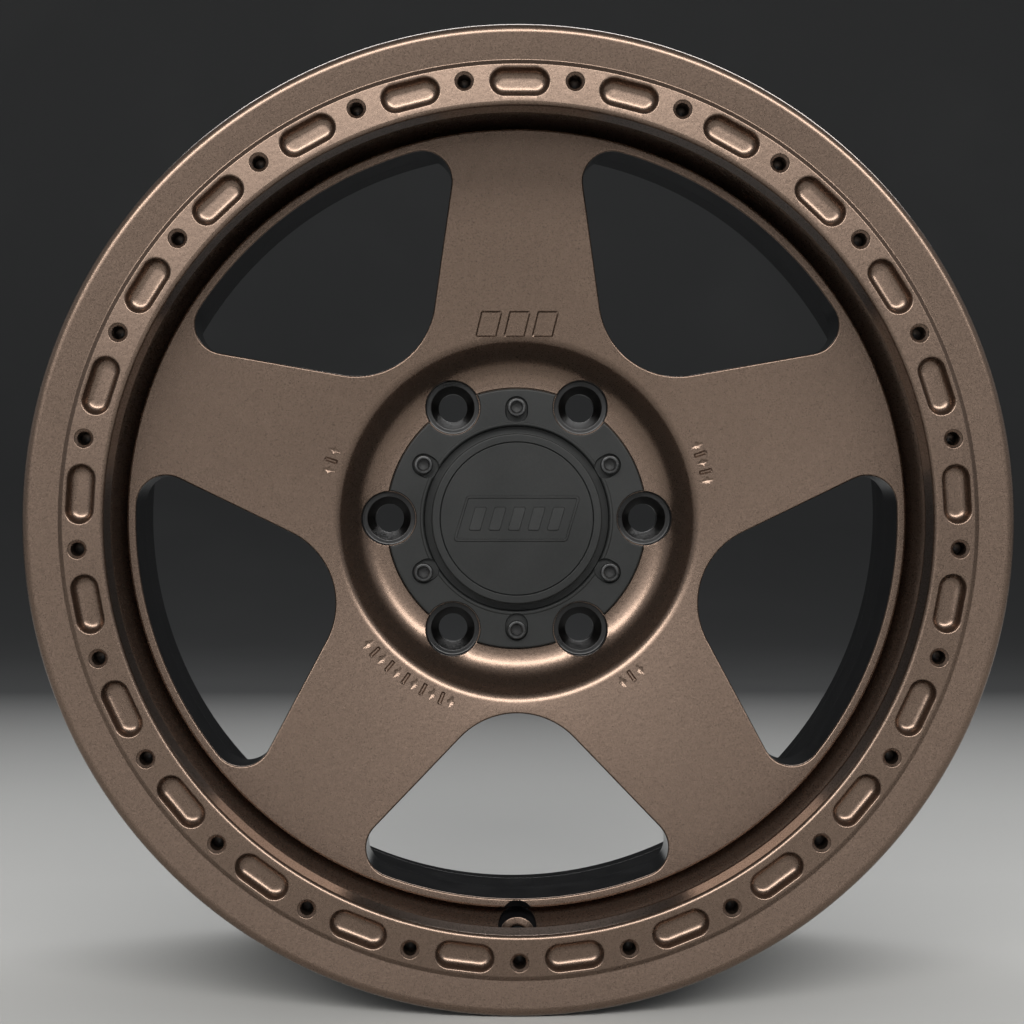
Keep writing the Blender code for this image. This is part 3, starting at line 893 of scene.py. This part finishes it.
def build_lug_seats():
    """Steel nut seats: a 60 degree cone down to the stud hole."""
    # Dark steel, made darker still as painted shade for the deep recess, so the cone shows no
    # reflection
    steel = machined("lug_seat_steel_and_painted_shade", (0.014, 0.013, 0.013), (0.030, 0.028, 0.027), 0.36)
    top = LUG_RECESS_FLOOR - 0.45
    foot = 5.8
    corners = [
        (12.5, top, 0.2),
        (12.5, foot, 0.3),
        (7.85, foot, 0.5),
        (7.85, top - 6.9, 0.5),
        (11.8, top, 0.2),
    ]
    out = Matrix.Translation((0.0, LUG_CIRCLE, 0.0))
    for index, angle in enumerate(LUG_ANGLES, 1):
        seat = turned(f"nut_seat_{index}", corners, 72, steel)
        transformed(seat, clock(angle) @ out)
        finish_piece(seat, "wheel", [f"lug_seat_{index}"])


def cap_cutters():
    """Scallops round the lug recesses and screw recesses of the cap, then its screw holes.

    They come as two lists, because cutters that overlap can't be cut in one go.
    """
    circle = circle_loop(96)
    radius = LUG_RECESS_RADIUS + 0.3
    loops = edge_round(circle, lambda points: np.full(len(points), CAP_FLANGE), 0.7, 4, radius)
    loops.append(heights(circle(radius), 5.0))
    scallop = loft_cutter("scallop", loops, [0] * len(loops))
    places = [Matrix.Translation(on_circle(LUG_CIRCLE, angle)) for angle in LUG_ANGLES]
    made = copies(scallop, places)
    slot = slot_loop(SCREW_RECESS_LENGTH, SCREW_RECESS_WIDTH, 17)
    floor = SCREW_RECESS_FLOOR
    below = [(0.0, floor + 0.5), (-0.15, floor + 0.15), (-0.5, floor)]
    recess = flat_pocket(slot, CAP_FLANGE, 0.3, below)
    inwards = (SCREW_RECESS_LENGTH - SCREW_RECESS_WIDTH) / 2
    places = []
    for index in range(1, SCREWS + 1):
        centre = screw_place(index)
        turn = clock((index - 1) * 60.0 + 90.0)
        places.append(Matrix.Translation(centre - inwards * centre.normalized()) @ turn)
    made += copies(recess, places)
    outline = circle_loop(28)(CAP_HOLE_RADIUS)
    hole = loft_cutter("cap_hole", [heights(outline, 29.0), heights(outline, 15.0)], [0, 0])
    places = [Matrix.Translation(screw_place(index)) for index in range(1, SCREWS + 1)]
    return made, copies(hole, places)


def build_cap():
    """The cap: a scalloped flange, a groove, a raised round face and a plug with a seal groove."""
    black = satin_black("cap_satin_black", (0.011, 0.012, 0.012), (0.019, 0.020, 0.020), 0.40)
    corners = [
        (41.7, 33.2, 0.2),
        (41.7, 35.0, 0.4),
        (46.2, 35.0, 0.9),
        (46.2, 22.6, 0.6),
        (50.6, 22.6, 0.6),
        (50.6, 26.9, 0.2),
        (51.3, 27.35, 0.35),
        (52.3, 27.35, 0.35),
        (52.8, CAP_FLANGE, 0.3),
        (71.0, CAP_FLANGE, 1.2),
        (71.0, 20.3, 0.3),
        (52.5, 20.3, 0.2),
        (52.5, 17.5, 0.2),
        (49.6, 17.5, 0.2),
        (49.6, 14.1, 0.2),
        (52.5, 14.1, 0.2),
        (52.5, 10.0, 0.8),
        (47.5, 10.0, 0.5),
        (47.5, 19.5, 0.8),
        (42.5, 19.5, 0.8),
        (42.5, 30.0, 2.0),
    ]
    cap = turned("cap_body", [(0.0, 33.2, 0.0)] + corners + [(0.0, 30.0, 0.0)], 240, black)
    for cutters in cap_cutters():
        boolean(cap, join(cutters))
    finish_piece(cap, "cap", ["centre_cap"])


def hexagon(radius):
    angles = np.linspace(0.0, 2 * math.pi, 6, endpoint=False) + math.pi / 2
    return radius * np.column_stack((np.cos(angles), np.sin(angles)))


def raised_prism(name, outline, low, top, bevel):
    """A closed plate on a face, with small bevels round its top edge."""
    centre = outline.mean(axis=0)
    reach = np.abs(outline - centre).max()
    inset = centre + (outline - centre) * (1.0 - bevel / reach)
    loops = [heights(inset, top), heights(outline, top - bevel), heights(outline, low)]
    return loft_cutter(name, loops, [RELIEF] * len(loops))


def frame_prism(name, outer, inner, low, top, bevel):
    """A closed raised frame between two outlines, its top narrower than its foot by the bevels."""
    outer_top = outer * (1.0 - bevel / np.abs(outer).max(axis=0))
    inner_top = inner * (1.0 + bevel / np.abs(inner).max(axis=0))
    loops = [
        heights(outer_top, top),
        heights(outer, top - bevel),
        heights(outer, low),
        heights(inner, low),
        heights(inner, top - bevel),
        heights(inner_top, top),
    ]
    faces = ring_faces(loops)
    return mesh_object(name, np.vstack(loops), faces, [RELIEF] * len(faces), [])


def build_emblem():
    """The cap's insert, with a plain raised frame and a row of raised bars inside it."""
    black = satin_black("emblem_satin_black", (0.010, 0.011, 0.011), (0.017, 0.018, 0.018), 0.42)
    relief = satin_black("emblem_relief_black", (0.018, 0.019, 0.019), (0.030, 0.031, 0.031), 0.32)
    corners = [
        (0.0, EMBLEM_FACE, 0.0),
        (41.4, EMBLEM_FACE, 0.35),
        (41.4, EMBLEM_FOOT, 0.1),
        (0.0, EMBLEM_FOOT, 0.0),
    ]
    disc = turned("emblem_disc", corners, 180, black)
    disc.data.materials.append(relief)
    low = EMBLEM_FACE - 0.4
    top = EMBLEM_FACE + 0.6
    bevel = 0.5
    slant = 7.5
    outlines = [slanted(62.0, 25.0, slant, 1.8), slanted(58.8, 21.8, slant * 0.88, 1.0)]
    raised = [frame_prism("border", *outlines, low, top, bevel)]
    for step in range(-2, 3):
        outline = slanted(6.4, 13.0, slant / 2, 0.9) + (step * 10.6, 0.0)
        raised.append(raised_prism("bar", outline, low, top, bevel))
    boolean(disc, join(raised), "UNION")
    finish_piece(disc, "cap", ["cap_emblem"], 25.0)


def build_seal():
    """A round rubber ring in the groove of the cap's plug."""
    thickness = 1.35
    angles = np.linspace(math.pi / 2, -1.5 * math.pi, 20, endpoint=False)
    section = [
        (51.3 + thickness * math.cos(angle), 15.8 + thickness * math.sin(angle)) for angle in angles
    ]
    ring = lathe("seal_ring", np.array(section), 160, [0] * len(section), [rubber()])
    finish_piece(ring, "cap", ["cap_seal_ring"])


def build_screws():
    """Socket head screws, from the head's top down, with a hex socket and its bevelled mouth."""
    oxide = machined("screw_black_oxide", (0.035, 0.036, 0.037), (0.070, 0.071, 0.072), 0.33, 0.7)
    corners = [
        (0.0, SCREW_HEAD_HEIGHT, 0.0),
        (SCREW_HEAD_RADIUS, SCREW_HEAD_HEIGHT, 0.7),
        (SCREW_HEAD_RADIUS, 0.0, 0.3),
        (SCREW_RADIUS, 0.0, 0.2),
        (SCREW_RADIUS, -15.2, 0.0),
        (2.1, -16.0, 0.0),
        (0.0, -16.0, 0.0),
    ]
    # Painted shade: a near-black gloss inside the hex socket that hides its reflections
    shade = gloss_black("socket_painted_shade", 0.35)
    for index in range(1, SCREWS + 1):
        screw = turned(f"m6_screw_{index}", corners, 64, oxide)
        screw.data.materials.append(shade)
        loops = [
            heights(hexagon(2.9), SCREW_HEAD_HEIGHT + 0.3),
            heights(hexagon(2.9), SCREW_HEAD_HEIGHT - 3.0),
            heights(hexagon(0.3), SCREW_HEAD_HEIGHT - 3.2),
        ]
        boolean(screw, loft_cutter("socket", loops, [SOCKET_PAINTED_SHADE] * len(loops)))
        mouth = circle_loop(36)
        loops = [
            heights(mouth(3.9), SCREW_HEAD_HEIGHT + 0.3),
            heights(mouth(3.6), SCREW_HEAD_HEIGHT),
            heights(mouth(2.6), SCREW_HEAD_HEIGHT - 1.0),
        ]
        boolean(screw, loft_cutter("mouth", loops, [0] * len(loops)))
        transformed(screw, Matrix.Translation(screw_place(index, SCREW_RECESS_FLOOR + 0.3)))
        finish_piece(screw, f"cap_screw_{index}", [f"cap_screw_{index}"])


def build_inserts():
    """Plain steel bushes in the forging for the cap's screws."""
    steel = machined("insert_steel", (0.40, 0.40, 0.39), (0.55, 0.55, 0.54), 0.3, 1.0)
    corners = [(3.2, 19.7, 0.3), (3.9, 19.7, 0.3), (3.9, 6.6, 0.2), (3.2, 6.6, 0.2)]
    for index in range(1, SCREWS + 1):
        insert = turned(f"m6_insert_{index}", corners, 40, steel)
        transformed(insert, Matrix.Translation(screw_place(index)))
        finish_piece(insert, "wheel", [f"thread_insert_{index}"])


# ---------------------------------------------------------------- camera, floor and light


def build_camera():
    """Just off the spin axis, a little above it and to the left, looking almost along it."""
    data = bpy.data.cameras.new("camera")
    data.sensor_width = 36.0
    data.lens = CAMERA_LENS
    data.clip_start = 0.05
    camera = bpy.data.objects.new("camera", data)
    bpy.context.scene.collection.objects.link(camera)
    camera.location = CAMERA_PLACE
    camera.rotation_euler = Vector(CAMERA_AIM).to_track_quat("-Z", "Y").to_euler()
    bpy.context.scene.camera = camera


def build_stage():
    """A pale floor that darkens behind the wheel and sweeps up into a dark grey backdrop."""
    nodes = Nodes("stage_paper", (0.5, 0.5, 0.5), 0.8, 0.0)
    split = nodes.add("ShaderNodeSeparateXYZ")
    nodes.link(nodes.place, split.inputs["Vector"])
    near = nodes.scaled(split.outputs["Y"], 1.0, 0.0, 0.25, 1.6)
    speck = nodes.scaled(nodes.noise(3.0, 4.0), -0.02, 0.02)
    nodes.colours(nodes.maths("ADD", near, speck), (0.024, 0.025, 0.026), (0.46, 0.46, 0.45))
    line = [(-3.0, 0.0)]
    start = 2.2
    sweep = 1.5
    for step in range(17):
        angle = math.radians(90) * step / 16
        line.append((start + sweep * math.sin(angle), sweep - sweep * math.cos(angle)))
    line.append((3.7, 4.0))
    verts = []
    for x in (-5.0, 5.0):
        verts += [(x, y, STAGE_HEIGHT + z) for y, z in line]
    count = len(line)
    faces = [(index, count + index, count + index + 1, index + 1) for index in range(count - 1)]
    floor = mesh_object("stage_floor", verts, faces, [0] * len(faces), [nodes.material])
    floor.data.shade_smooth()


def area_light(name, location, target, size, power, colour=(1.0, 1.0, 1.0)):
    """A rectangular light of a width and height in metres that faces the target."""
    data = bpy.data.lights.new(name, "AREA")
    data.shape = "RECTANGLE"
    data.size, data.size_y = size
    data.energy = power
    data.color = colour
    light = bpy.data.objects.new(name, data)
    light.location = location
    aim = Vector(target) - Vector(location)
    light.rotation_euler = aim.to_track_quat("-Z", "Y").to_euler()
    bpy.context.scene.collection.objects.link(light)


def build_world():
    """A plain surround that is brightest at the horizon and darker overhead and below."""
    world = bpy.data.worlds.new("studio")
    bpy.context.scene.world = world
    world.use_nodes = True
    tree = world.node_tree
    background = tree.nodes["Background"]
    background.inputs["Color"].default_value = (0.96, 0.98, 1.0, 1.0)
    place = tree.nodes.new("ShaderNodeTexCoord")
    split = tree.nodes.new("ShaderNodeSeparateXYZ")
    ramp = tree.nodes.new("ShaderNodeValToRGB")
    shift = tree.nodes.new("ShaderNodeMapRange")
    shift.inputs["From Min"].default_value = -1.0
    tree.links.new(place.outputs["Generated"], split.inputs["Vector"])
    tree.links.new(split.outputs["Z"], shift.inputs["Value"])
    tree.links.new(shift.outputs["Result"], ramp.inputs["Fac"])
    tree.links.new(ramp.outputs["Color"], background.inputs["Strength"])
    stops = ramp.color_ramp.elements
    while len(stops) < len(WORLD_STOPS):
        stops.new(0.5)
    for stop, (sine, level) in zip(stops, WORLD_STOPS):
        stop.position = (sine + 1.0) / 2
        stop.color = (level, level, level, 1.0)


def build_light():
    """A wide warm band above and in front, a weak panel below it, and a soft light behind."""
    build_world()
    bpy.context.scene.view_settings.view_transform = "Standard"
    area_light("band", (0.0, -2.65, 1.42), (0.0, 0.0, 0.0), (4.2, 0.7), 112.0, (1.0, 0.98, 0.95))
    area_light("panel", (-0.5, -2.85, 0.60), (0.0, 0.0, 0.0), (1.6, 0.5), 4.2)
    area_light("back", (0.2, 1.6, 1.4), (0.0, 0.0, -0.1), (2.6, 0.8), 34.0)


def main():
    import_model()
    build_camera()
    build_forging()
    build_lug_seats()
    build_cap()
    build_emblem()
    build_seal()
    build_screws()
    build_inserts()
    build_stage()
    build_light()
    bpy.context.view_layer.update()


main()
